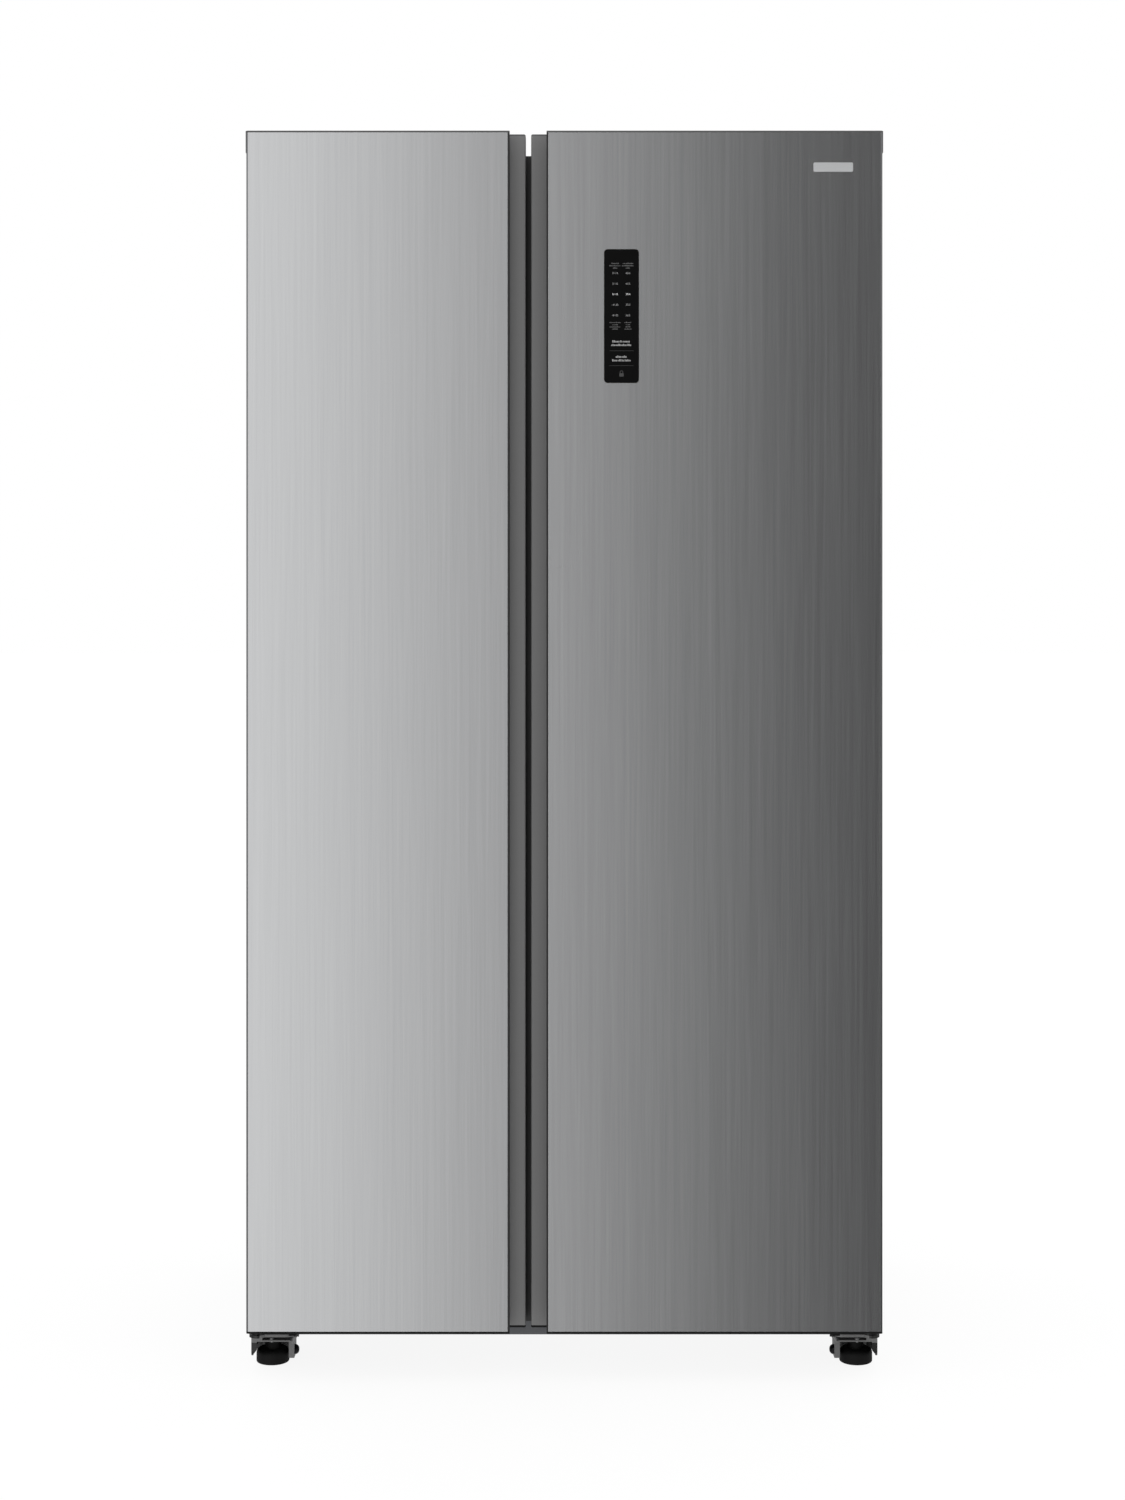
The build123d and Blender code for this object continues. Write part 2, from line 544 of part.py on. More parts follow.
def door_core(door, caps):
    """All the space inside the door that is filled with foam."""
    grip_y = (FRONT + LIP_THICK - GRIP_WALL, STRIP_Y + GRIP_WALL)
    plan = door_section(door, DOOR_BACK + 40) - skin_section(door) - grip_section(door)
    plan -= rect((door.grip_x, door.edge), grip_y)
    core = prism(plan, SKIN_Z) & back_shape(door, 0.0)
    core -= hinge_pocket()
    for cap in caps:
        core -= cap
    core -= rod(PIVOT[0], PIVOT[1], (CABINET_TOP - 29, HEIGHT), BUSH_R)
    core -= rod(PIVOT[0], PIVOT[1], (0, DOOR_BOTTOM + 27), BUSH_R)
    return core.solids().sort_by(SortBy.VOLUME)[-1]


def foam_blocks(door, core):
    """The core as blocks: slab, grip lip, backing of the strip, then a flange and a rib round the pan."""
    pan_y, flange_y, rib_y = PAN_Y - LINER, DOOR_BACK - LINER, DOOR_BACK + 40
    tall, middle = (0, HEIGHT), sum(ROOM_Z) / 2
    left, right = door.pan_x[0] - LINER, door.pan_x[1] + LINER
    cells = [((SIDE, door.grip_x), (FRONT, pan_y), tall)]
    for y in ((FRONT, FRONT + LIP_THICK), (FRONT + LIP_THICK, pan_y)):
        cells.append(((door.grip_x, door.edge), y, tall))
    for y in ((pan_y, flange_y), (flange_y, rib_y)):
        cells += [((SIDE, left), y, tall), ((right, door.edge), y, tall)]
        cells += [((left, right), y, (0, middle)), ((left, right), y, (middle, HEIGHT))]
    return Compound([solid for cell in cells for solid in (core & block(*cell)).solids()])


def door_gasket(door):
    """Magnetic seal ring between the door and the cabinet's front frame."""
    x, z = (SIDE + PIVOT_IN - 2, door.edge - 4), (80.0, CABINET_TOP - 17)
    y = (DOOR_BACK, CABINET_FRONT - 0.5)
    return wall_frame(x, z, y, 0, 9.0) - wall_frame(x, z, (y[0] - 1, y[1] + 1), 13.0, 16.0)


# ---- hinges, feet and rollers, drawn for the left side ------------------------------------------
TOP_SCREWS = [(-430.0, -222.0), (-430.0, -182.0), (-385.0, -202.0)]


def top_hinge():
    z = (CABINET_TOP, CABINET_TOP + 4)
    x, y = PIVOT
    plate = block((x - 10, x + 10), (y, -160.0), z) + rod(x, y, z, 10.0)
    base = block((x - 8, -365.0), (-240.0, -165.0), z)
    plate += fillet(base.edges().filter_by(Axis.Z), 8.0)
    plate += rod(x, y, (CABINET_TOP - 25, CABINET_TOP + 4), PIN_R)
    for sx, sy in TOP_SCREWS:
        plate -= rod(sx, sy, z, 2.7)
    return plate


def hinge_cover():
    """Hood over the hinge plate, with a nose that runs out over the arm."""
    x, y = PIVOT
    top = HEIGHT - 0.6
    nose_z = (CABINET_TOP + 4.3, top)
    nose = block((x - 12, x + 12), (y, -230.0), nose_z) + rod(x, y, nose_z, 12.0)
    hood = block((x - 12, -350.0), (CABINET_FRONT + 3, -150.0), (CABINET_TOP, top))
    hood = fillet(hood.edges().filter_by(Axis.Z), 9.0)
    cover = nose + hood
    cover = fillet(cover.faces().sort_by(Axis.Z)[-1].edges(), 1.5)
    hollow = block((x - 10.3, -352.0), (CABINET_FRONT + 5, -152.0), (CABINET_TOP - 1, top - 2))
    gap = block((x - 10.3, x + 10.3), (y, CABINET_FRONT + 9), (0, CABINET_TOP + 4.3))
    return cover - hollow - gap


LEG_X = (-FOOT_X - 27.0, -FOOT_X + 33.0)  # outer faces of the leg bracket's arms at the front
LEG_Y = (FRONT + 60.0, FRONT + 176.0)
WEB_Z = (39.8, 41.8)
ARM_TOP = 46.3
FRONT_ROLLER = (FRONT + 150.0, 24.0)  # axis: y, z
LEVER_PIN = (FRONT + 91.0, 19.5)  # axis: y, z
WEB_SCREW = (-425.0, FRONT + 66.0)
PLATE = 2.0  # bracket steel
JOGGLE = 6.0  # how far the inner arm steps in towards the roller


def wall_plate(points, y):
    """A flat outline in the XZ plane, given its depth."""
    return Pos(0, y[0], 0) * extrude(Plane.XZ * make_face(Polyline(*points, close=True)), -(y[1] - y[0]))


def leg_web():
    """Web over the foot, folded down at its inner end, with a raised step at its outer end."""
    (outer, inner), (low, high) = LEG_X, WEB_Z
    web = block((outer, inner), (LEG_Y[0], FOOT_Y + 27), (high - 5, high))
    web = fillet(web.edges().filter_by(Axis.Y).sort_by(Axis.X)[-2:].sort_by(Axis.Z)[-1:], 4.5)
    under = block((outer - 1, inner - PLATE), (LEG_Y[0] - 1, FOOT_Y + 28), (0, low))
    under = fillet(under.edges().filter_by(Axis.Y).sort_by(Axis.X)[-2:].sort_by(Axis.Z)[-1:], 2.5)
    step = block((outer, outer + 16), (LEG_Y[0], LEG_Y[0] + 15), (low, ARM_TOP))
    step = fillet(step.edges().filter_by(Axis.Y).sort_by(Axis.Z)[-2:], 1.5)
    return web - under + step


def leg_arms():
    """Side arms that carry the roller pin, each with a narrow face turned to the front."""
    outer, inner = LEG_X
    arm_out = block((outer, outer + PLATE), LEG_Y, (18.0, ARM_TOP))
    arm_out = fillet(arm_out.edges().filter_by(Axis.X).sort_by(Axis.Z)[:2], 8.0)
    step_y = LEVER_PIN[0] + 20
    rear = block((inner - PLATE - JOGGLE, inner - JOGGLE), (step_y, LEG_Y[1]), (9.0, ARM_TOP))
    rear = fillet(rear.edges().filter_by(Axis.X).sort_by(Axis.Z)[:2].sort_by(Axis.Y)[-1:], 12.0)
    arm_in = block((inner - PLATE, inner), (LEVER_PIN[0] - 8, step_y + PLATE), (9.0, WEB_Z[1] - 3))
    arm_in += rear + block((inner - PLATE - JOGGLE, inner), (step_y, step_y + PLATE), (9.0, WEB_Z[1] - 3))
    face_in = block((inner - 8, inner), (LEVER_PIN[0] - 8, LEVER_PIN[0] - 6), (9.0, WEB_Z[1] - 3))
    shape = [(0, 0), (8, 0), (8, -14), (4.2, -19), (1.6, -17), (0, -6)]
    face_out = wall_plate([(outer + x, WEB_Z[1] + z) for x, z in shape], (LEG_Y[0], LEG_Y[0] + PLATE))
    return arm_out + arm_in + face_in + face_out


def bottom_hinge():
    """Welded lower hinge: tongue with the pin and riser under the door, and the leg bracket."""
    x, y = PIVOT
    tongue_x, tongue_z = (-452.0, -386.0), (57.5, 61.5)
    tongue = block(tongue_x, (y - 6, CABINET_FRONT), tongue_z) + rod(x, y, tongue_z, 12.0)
    tongue = fillet(tongue.edges().filter_by(Axis.Z).sort_by(Axis.X)[-2:].sort_by(Axis.Y)[:1], 14.0)
    tongue += rod(x, y, (60.0, DOOR_BOTTOM - 0.3), 9.0) + rod(x, y, (60.0, DOOR_BOTTOM + 25), PIN_R)
    flange = block(tongue_x, (CABINET_FRONT - 2.5, CABINET_FRONT), (44.0, 61.5))
    inside = (LEG_X[0], LEG_X[1] - JOGGLE)
    shelf = block(inside, (CABINET_FRONT - 2.5, LEG_Y[1]), (44.0, ARM_TOP))
    shelf -= block((-FOOT_X - 12, -FOOT_X + 12), (FRONT_ROLLER[0] - 24, 0), (0, 60))
    back = block(inside, (FOOT_Y + 25, FOOT_Y + 27), (9.0, ARM_TOP))
    hinge = tongue + flange + shelf + back + leg_web() + leg_arms()
    hinge -= rod(-FOOT_X, FOOT_Y, (30.0, 60.0), 5.08)
    hinge -= rod((-460.0, -390.0), *FRONT_ROLLER, 4.0, "x")
    hinge -= rod((-400.0, -390.0), *LEVER_PIN, 3.1, "x")
    hinge -= rod(*WEB_SCREW, (36.0, 42.0), 2.2)
    for sx in (-440.0, -398.0):
        hinge -= rod(sx, (CABINET_FRONT - 3, CABINET_FRONT + 1), 52.0, 2.2, "y")
    return hinge


def foot():
    """Levelling foot: broad moulded pad, neck and threaded stud."""
    pad = Pos(-FOOT_X, FOOT_Y, 10) * Cylinder(FOOT_R, 20)
    pad = fillet(pad.edges().filter_by(GeomType.CIRCLE).sort_by(Axis.Z)[-1:], 7.0)
    pad = fillet(pad.edges().filter_by(GeomType.CIRCLE).sort_by(Axis.Z)[:1], 2.0)
    pad += rod(-FOOT_X, FOOT_Y, (19.0, WEB_Z[0] - 0.4), 11.3)
    return pad + rod(-FOOT_X, FOOT_Y, (WEB_Z[0] - 1, 46.0), PIN_R)


def roller(x, y, z, half):
    """Nylon wheel with a hub, on a 8 mm pin."""
    wheel = rod((x - half, x + half), y, z, 22.0, "x")
    wheel = fillet(wheel.edges().filter_by(GeomType.CIRCLE), 2.5)
    for face in (x - half, x + half):
        wheel -= rod((face - 3, face + 3), y, z, 17.0, "x") - rod((face - 3, face + 3), y, z, 8.0, "x")
    return wheel - rod((x - 50, x + 50), y, z, 4.05, "x")


def domed_pin(start, seat, y, z, radius, head_radius, dome):
    """A pin along X from start to the face that its domed head sits on."""
    head = rod((seat, seat + dome + 0.5), y, z, head_radius, "x")
    head = fillet(head.edges().filter_by(GeomType.CIRCLE).sort_by(Axis.X)[-1:], dome)
    return head + rod((start, seat + 1), y, z, radius, "x")


def front_pin():
    return domed_pin(LEG_X[0] - 1, LEG_X[1] - JOGGLE, *FRONT_ROLLER, 3.99, 7.0, 2.5)


def lever_pin():
    """Pin of the bracket's height lever, with a large dome on its inner side."""
    return domed_pin(LEG_X[1] - 5, LEG_X[1], *LEVER_PIN, 3.0, 7.2, 6.0)


def rear_pin(side):
    x = roller_pin_x(side)
    pin = rod(x, 285.0, 22.0, 3.99, "x")
    for face in ((x[0], x[0] + 2.8), (x[1] - 2.8, x[1])):
        pin += rod(face, 285.0, 22.0, 6.5, "x")
    return pin


def screw(point, way, axis, radius=4.6):
    """Pan head on a short shank. way is the side that the head stands on."""
    x, y, z = point
    spans = {"y": (x, sorted((y, y + 2.2 * way)), z), "z": (x, y, (z, z + 2.2 * way))}
    shanks = {"y": (x, sorted((y, y - 2.25 * way)), z), "z": (x, y, (z - 3.9 * way, z))}
    head = rod(*spans[axis], radius, axis)
    rim = head.faces().sort_by(Axis.Y if axis == "y" else Axis.Z)
    head = fillet((rim[0] if way < 0 else rim[-1]).edges(), 1.4)
    slot = Box(radius * 1.1, 0.9, 2.4)
    cross = slot + Rot(0, 0, 90) * slot
    lift = {"y": (x, y + 2.2 * way, z), "z": (x, y, z + 2.2 * way)}[axis]
    turn = Rot(90, 0, 0) if axis == "y" else Rot(0, 0, 0)
    return head + rod(*shanks[axis], 2.1, axis) - Pos(*lift) * turn * cross


def fasteners():
    """Hinge screws, rear cover screws and the roller pins, each a separate solid."""
    solids = []
    for x, y in TOP_SCREWS:
        one = screw((x, y, CABINET_TOP + 4), 1, "z")
        solids += [one, mirrored(one)]
    for x in (-440.0, -398.0):
        one = screw((x, CABINET_FRONT - 2.5, 52.0), -1, "y")
        solids += [one, mirrored(one)]
    for x in (-430, -215, 0, 215, 430):
        solids.append(screw((x, BACK_SHEET + 1.5, MACHINE_TOP + 7), 1, "y"))
    for one in (screw((*WEB_SCREW, WEB_Z[1]), 1, "z", 3.2), front_pin(), lever_pin()):
        solids += [one, mirrored(one)]
    return solids + [rear_pin(-1), rear_pin(1)]


# ---- control panel, in the right handed frame ---------------------------------------------------
PANEL_X, PANEL_Z = (56.5, 106.4), (1426.0, 1617.0)


def panel_block(y, inset, radius):
    return wall_frame(PANEL_X, PANEL_Z, y, inset, radius)


def display_panel():
    """Touch glass, flush with the door, and the housing of its circuit board behind it."""
    glass = panel_block((FRONT + 0.1, FRONT + 2.6), 0.3, 5.0)
    glass = fillet(glass.faces().sort_by(Axis.Y)[0].edges(), 0.4)
    housing = panel_block((FRONT + 2.6, FRONT + 18), 1.0, 5.0)
    return Compound([glass, housing])


def badge_recess():
    """Shallow stamped seat for a plain trim bar, near the fridge door's upper outer corner."""
    seat = block((355.0, 412.0), (FRONT - 1, FRONT + 0.4), (1727.0, 1741.0))
    return fillet(seat.edges().filter_by(Axis.Y), 2.0)


# ---- assembly -----------------------------------------------------------------------------------
def save_door(prefix, door, placed, recesses=()):
    """Writes one door's pieces. recesses are cut from its skin and core before it is placed."""
    caps = [door_top_cap(door), door_bottom_cap(door)]
    skin, core = door_skin(door), door_core(door, caps)
    for recess in recesses:
        skin -= recess
        core -= recess
    pieces = {
        "skin": skin,
        "foam": foam_blocks(door, core),
        "liner": door_liner(door),
        "grip": prism(grip_section(door), SKIN_Z),
        "top_cap": caps[0],
        "bottom_cap": caps[1],
        "gasket": door_gasket(door),
    }
    for name, shape in pieces.items():
        save(placed(shape), f"{prefix}_door_{name}")
    for i, level in enumerate(BIN_LEVELS):
        save(placed(door_bin(door.pan_x, level)), f"{prefix}_door_bin_{i + 1}")


def main():
    os.makedirs("parts", exist_ok=True)
    freezer_back, fridge_back = 192.0, 226.0
    save(cabinet_shell(), "cabinet_shell")
    save(rear_panel(), "rear_panel")
    save(cabinet_foam(), "cabinet_foam")
    save(liner(FREEZER_X, FREEZER_SHELVES, freezer_back - 4), "freezer_liner")
    save(liner(FRIDGE_X, FRIDGE_SHELVES, fridge_back - 4), "fridge_liner")
    save(base_frame(), "base_frame")
    save(machine_cover(), "machine_cover")
    save(cord_gland(), "cord_gland")
    save(electronics_cover(), "electronics_cover")
    save(compressor(), "compressor")
    save(condenser_coil(), "condenser_coil")
    save(condenser_fan_shroud(), "condenser_fan_shroud")
    save(condenser_fan_blade(), "condenser_fan_blade")
    save(drain_pan(), "drain_pan")
    save(evaporator(), "evaporator")
    save(evaporator_cover(), "evaporator_cover")
    save(evaporator_fan_blade(), "evaporator_fan_blade")
    save(fridge_air_duct(), "fridge_air_duct")
    save(Compound([lamp(FREEZER_X), lamp(FRIDGE_X)]), "interior_lamps")

    freezer_panes = [shelf_glass(FREEZER_X, level, freezer_back) for level in FREEZER_SHELVES]
    fridge_panes = [shelf_glass(FRIDGE_X, level, fridge_back) for level in FRIDGE_SHELVES]
    trims = [shelf_trim(FREEZER_X, level) for level in FREEZER_SHELVES]
    trims += [shelf_trim(FRIDGE_X, level) for level in FRIDGE_SHELVES]
    save(Compound(freezer_panes), "freezer_shelf_glass")
    save(Compound(fridge_panes), "fridge_shelf_glass")
    save(Compound(trims), "shelf_front_trims")

    upper, lower = (302.0, 478.0), (106.0, 288.0)
    save(drawer(FREEZER_X, 178.0, upper), "freezer_drawer_upper")
    save(drawer(FREEZER_X, 58.0, lower), "freezer_drawer_lower")
    save(drawer(FRIDGE_X, 210.0, upper), "crisper_upper")
    save(drawer(FRIDGE_X, 58.0, lower), "crisper_lower")

    freezer = Door(DOOR_EDGE_FREEZER, LIP_SETBACK[0], FREEZER_X)
    fridge = Door(-DOOR_EDGE_FRIDGE, LIP_SETBACK[1], (-FRIDGE_X[1], -FRIDGE_X[0]))
    save_door("freezer", freezer, lambda shape: shape)
    panel_recess = panel_block((FRONT - 1, FRONT + 18.1), 0, 5.3)
    save_door("fridge", fridge, mirrored, (mirrored(panel_recess), mirrored(badge_recess())))
    save(display_panel(), "display_panel")

    save(Compound([top_hinge(), mirrored(top_hinge())]), "top_hinges")
    save(Compound([hinge_cover(), mirrored(hinge_cover())]), "hinge_covers")
    pairs = {
        "bottom_hinge": bottom_hinge(),
        "foot": foot(),
        "front_roller": roller(-FOOT_X, *FRONT_ROLLER, 9.0),
        "rear_roller": roller(-400.0, 285.0, 22.0, 10.0),
    }
    for name, shape in pairs.items():
        save(shape, f"{name}_left")
        save(mirrored(shape), f"{name}_right")
    save(Compound(fasteners()), "fasteners")


main()
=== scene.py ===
import json
import math
import random

import bmesh
import bpy
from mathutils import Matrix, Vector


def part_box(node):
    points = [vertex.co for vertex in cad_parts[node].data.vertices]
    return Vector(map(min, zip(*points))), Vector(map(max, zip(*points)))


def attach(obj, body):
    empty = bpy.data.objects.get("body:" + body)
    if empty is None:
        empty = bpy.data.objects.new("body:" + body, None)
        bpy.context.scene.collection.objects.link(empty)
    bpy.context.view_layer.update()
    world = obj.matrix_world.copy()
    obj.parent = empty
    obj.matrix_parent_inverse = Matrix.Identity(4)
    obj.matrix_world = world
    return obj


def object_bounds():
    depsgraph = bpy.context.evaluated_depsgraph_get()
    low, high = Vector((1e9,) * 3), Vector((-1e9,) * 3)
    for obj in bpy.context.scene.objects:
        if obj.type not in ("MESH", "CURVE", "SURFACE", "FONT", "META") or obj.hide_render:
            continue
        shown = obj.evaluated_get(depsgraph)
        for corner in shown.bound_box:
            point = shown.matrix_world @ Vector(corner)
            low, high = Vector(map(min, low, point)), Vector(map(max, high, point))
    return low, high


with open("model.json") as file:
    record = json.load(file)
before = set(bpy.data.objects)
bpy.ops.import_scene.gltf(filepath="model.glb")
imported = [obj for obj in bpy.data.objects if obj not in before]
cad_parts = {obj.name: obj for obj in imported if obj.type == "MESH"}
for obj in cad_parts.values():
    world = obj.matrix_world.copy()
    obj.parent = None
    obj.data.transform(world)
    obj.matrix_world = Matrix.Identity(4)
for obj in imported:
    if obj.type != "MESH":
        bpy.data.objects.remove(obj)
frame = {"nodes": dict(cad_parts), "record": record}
cad_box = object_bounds()
nodes = frame["nodes"]

FRONT, FLOOR = cad_box[0][1], cad_box[0][2]
RIGHT = cad_box[1][0]


def grey(level, tint=(1.0, 1.0, 1.0)):
    """Linear colour of an 8-bit display grey."""
    value = level / 255
    linear = value / 12.92 if value <= 0.04045 else ((value + 0.055) / 1.055) ** 2.4
    return tuple(linear * t for t in tint)


# ---- node graphs --------------------------------------------------------------------------------
class Graph:
    """Adds nodes to a tree with short calls. Coordinates are the part's own, in metres."""

    def __init__(self, tree):
        self.tree = tree

    def node(self, kind, **settings):
        made = self.tree.nodes.new("ShaderNode" + kind)
        for key, value in settings.items():
            setattr(made, key, value)
        return made

    def link(self, source, target):
        self.tree.links.new(source, target)

    def feed(self, socket, value):
        if isinstance(value, bpy.types.NodeSocket):
            self.link(value, socket)
        elif isinstance(value, tuple) and len(value) == 3 and len(socket.default_value) == 4:
            socket.default_value = (*value, 1.0)
        else:
            socket.default_value = value

    def math(self, operation, *values):
        made = self.node("Math", operation=operation)
        for socket, value in zip(made.inputs, values):
            self.feed(socket, value)
        return made.outputs[0]

    def mix(self, factor, a, b):
        made = self.node("Mix", data_type="RGBA")
        for socket, value in zip((made.inputs[0], made.inputs[6], made.inputs[7]), (factor, a, b)):
            self.feed(socket, value)
        return made.outputs[2]

    def span(self, value, from_low, from_high, to_low, to_high, smooth=False):
        made = self.node("MapRange", interpolation_type="SMOOTHSTEP" if smooth else "LINEAR")
        for socket, number in zip(made.inputs, (value, from_low, from_high, to_low, to_high)):
            self.feed(socket, number)
        return made.outputs[0]

    def ramp(self, value, stops):
        """Grey ramp through (position, level) pairs."""
        made = self.node("ValToRGB")
        points = made.color_ramp.elements
        while len(points) < len(stops):
            points.new(0.5)
        for point, (position, level) in zip(points, stops):
            point.position = position
            point.color = (level, level, level, 1.0)
        self.link(value, made.inputs[0])
        return made.outputs[0]


class Surface(Graph):
    """A Principled material with helpers for grain, colour and bump."""

    def __init__(self, name, **sockets):
        self.material = bpy.data.materials.new(name)
        self.material.use_nodes = True
        super().__init__(self.material.node_tree)
        self.bsdf = self.tree.nodes["Principled BSDF"]
        self.place = self.node("TexCoord").outputs["Object"]
        self.bumped = None
        for key, value in sockets.items():
            self.set(key.replace("_", " "), value)

    def set(self, name, value):
        names = {s.name.lower(): s for s in self.bsdf.inputs}
        self.feed(names[name.lower()], value)

    def axis(self, letter):
        """One coordinate of the surface in the part's own frame."""
        made = self.node("SeparateXYZ")
        self.link(self.place, made.inputs[0])
        return made.outputs[letter]

    def hem(self, node):
        """1 on the folded edge of a door's sheet beside the centre gap, and 0 a millimetre further in."""
        low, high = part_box(node)
        edge = high.x if high.x < 0 else low.x
        away = self.math("ABSOLUTE", self.math("SUBTRACT", self.axis("X"), edge))
        return self.span(away, 0.0004, 0.0013, 1.0, 0.0, True)

    def scaled(self, scale):
        made = self.node("Mapping")
        self.link(self.place, made.inputs["Vector"])
        made.inputs["Scale"].default_value = scale
        return made.outputs[0]

    def noise(self, per_metre, detail=3.0, roughness=0.5):
        scale = per_metre if isinstance(per_metre, tuple) else (per_metre,) * 3
        made = self.node("TexNoise")
        self.link(self.scaled(scale), made.inputs["Vector"])
        made.inputs["Scale"].default_value = 1.0
        made.inputs["Detail"].default_value = detail
        made.inputs["Roughness"].default_value = roughness
        return made.outputs["Fac"]

    def cells(self, per_metre, output="Distance"):
        made = self.node("TexVoronoi")
        self.link(self.scaled((per_metre,) * 3), made.inputs["Vector"])
        made.inputs["Scale"].default_value = 1.0
        return made.outputs[output]

    def bump(self, height, distance, strength=1.0):
        """Stacks one more layer of bump. distance is in metres."""
        made = self.node("Bump")
        made.inputs["Strength"].default_value = strength
        made.inputs["Distance"].default_value = distance
        self.link(height, made.inputs["Height"])
        if self.bumped is not None:
            self.link(self.bumped, made.inputs["Normal"])
        self.bumped = made.outputs[0]
        self.link(self.bumped, self.bsdf.inputs["Normal"])

    def tone(self, factor, low, high):
        self.feed(self.bsdf.inputs["Base Color"], self.mix(factor, low, high))

    def polish(self, factor, low, high):
        self.feed(self.bsdf.inputs["Roughness"], self.span(factor, 0.25, 0.75, low, high))


# ---- materials ----------------------------------------------------------------------------------
SIDE_PAINT = (RIGHT - 0.0044, RIGHT - 0.0026)  # the doors' outer edges turn from steel to paint here
# Dark grey paint on the doors' sides; its grading from darker at the bottom to lighter at the top is
# painted shade.
SIDE_PAINT_AND_SHADE_BOTTOM, SIDE_PAINT_AND_SHADE_TOP = (0.075, 0.076, 0.08), (0.26, 0.263, 0.27)
# Painted shade: the door steel is drawn darker along the hems beside the centre gap.
HEM_SHADED_STEEL = tuple(c * 0.62 for c in (0.58, 0.585, 0.592))


def brushed_steel():
    """Door sheet: fine vertical brushing in colour, polish and bump, with painted shade along the hems, and
    dark grey paint on the sides whose grading from dark at the bottom to lighter at the top is painted
    shade.
    """
    s = Surface("brushed_steel", metallic=1.0)
    hair = s.noise((1500.0, 1500.0, 7.0), 3.0, 0.6)
    streak = s.noise((260.0, 260.0, 2.2), 4.0, 0.65)
    cloud = s.noise((7.0, 7.0, 1.1), 2.0)
    lines = s.math("ADD", s.math("MULTIPLY", hair, 0.45), s.math("MULTIPLY", streak, 0.55))
    sheet = s.mix(s.span(lines, 0.3, 0.7, 0.0, 1.0), (0.545, 0.55, 0.558), (0.625, 0.63, 0.637))
    side = s.span(s.math("ABSOLUTE", s.axis("X")), *SIDE_PAINT, 0.0, 1.0, True)
    # Painted shade: the side paint is darker towards the bottom and lighter towards the top.
    side_paint_and_shade = s.mix(s.span(s.axis("Z"), 0.1, 1.6, 0.0, 1.0), SIDE_PAINT_AND_SHADE_BOTTOM, SIDE_PAINT_AND_SHADE_TOP)
    hem_shade_masks = [s.hem(node) for node in ("freezer_door_skin", "fridge_door_skin")]
    # Painted shade: darker steel along both hems.
    sheet = s.mix(s.math("ADD", *hem_shade_masks), sheet, HEM_SHADED_STEEL)
    s.tone(side, sheet, side_paint_and_shade)
    wear = s.math("ADD", s.math("MULTIPLY", lines, 0.7), s.math("MULTIPLY", cloud, 0.3))
    s.polish(wear, 0.18, 0.235)
    s.bump(lines, 0.00002, 0.35)
    return s.material


def painted(name, colour, speck=1.12, rough=(0.34, 0.44), coat=0.25, front=None):
    """Stove enamel on sheet: orange peel, a little drift in tone, and any given front colour on the front
    frame, there as painted shade.
    """
    s = Surface(name, coat_weight=coat, coat_roughness=0.2)
    drift = s.noise(5.0, 3.0)
    peel = s.noise(420.0, 2.0)
    enamel_tone = s.mix(drift, colour, tuple(c * speck for c in colour))
    if front is None:
        s.set("Base Color", enamel_tone)
    else:
        facing = s.node("SeparateXYZ")
        s.link(s.node("NewGeometry").outputs["True Normal"], facing.inputs[0])
        # Painted shade: faces turned to the front take the dark front colour.
        s.tone(s.math("LESS_THAN", facing.outputs["Y"], -0.8), enamel_tone, front)
    s.polish(drift, *rough)
    s.bump(peel, 0.00012, 0.35)
    return s.material


# Painted shade: each recess is painted black where both of its limits hold: across is |x|, depth is y and
# up is z.
BRACKET_PAINTED_SHADE_RECESSES = (
    (("up", "GREATER_THAN", 0.0425), ("depth", "GREATER_THAN", FRONT + 0.062)),
    (("across", "GREATER_THAN", 0.4457), ("up", "LESS_THAN", 0.0385)),
    (("across", "GREATER_THAN", 0.437), ("up", "GREATER_THAN", 0.0565)),
    (("across", "LESS_THAN", 0.4022), ("depth", "GREATER_THAN", FRONT + 0.0855)),
)


def bracket_paint():
    """Grey enamel on the leg brackets, with painted shade: the recesses behind their front edges are
    painted black.
    """
    s = Surface("hinge_grey", coat_weight=0.3, coat_roughness=0.2)
    drift = s.noise(5.0, 3.0)
    enamel_tone = s.mix(drift, grey(98), tuple(c * 1.25 for c in grey(98)))
    place = {"across": s.math("ABSOLUTE", s.axis("X")), "depth": s.axis("Y"), "up": s.axis("Z")}
    shade = 0.0
    for recess in BRACKET_PAINTED_SHADE_RECESSES:
        inside = [s.math(test, place[way], bound) for way, test, bound in recess]
        shade = s.math("MAXIMUM", shade, s.math("MULTIPLY", *inside))
    # Painted shade: black in the recesses.
    s.tone(shade, enamel_tone, grey(16))
    s.polish(drift, 0.32, 0.5)
    s.bump(s.noise(420.0, 2.0), 0.00012, 0.35)
    return s.material


def galvanised():
    """Back sheet with zinc spangles."""
    s = Surface("rear_steel", metallic=0.85)
    spangle = s.cells(95.0, "Color")
    drift = s.noise(4.0, 4.0, 0.6)
    both = s.math("ADD", s.math("MULTIPLY", spangle, 0.5), s.math("MULTIPLY", drift, 0.5))
    s.tone(both, (0.36, 0.37, 0.38), (0.56, 0.57, 0.58))
    s.polish(both, 0.38, 0.55)
    s.bump(s.noise(900.0, 2.0), 0.00005, 0.4)
    return s.material


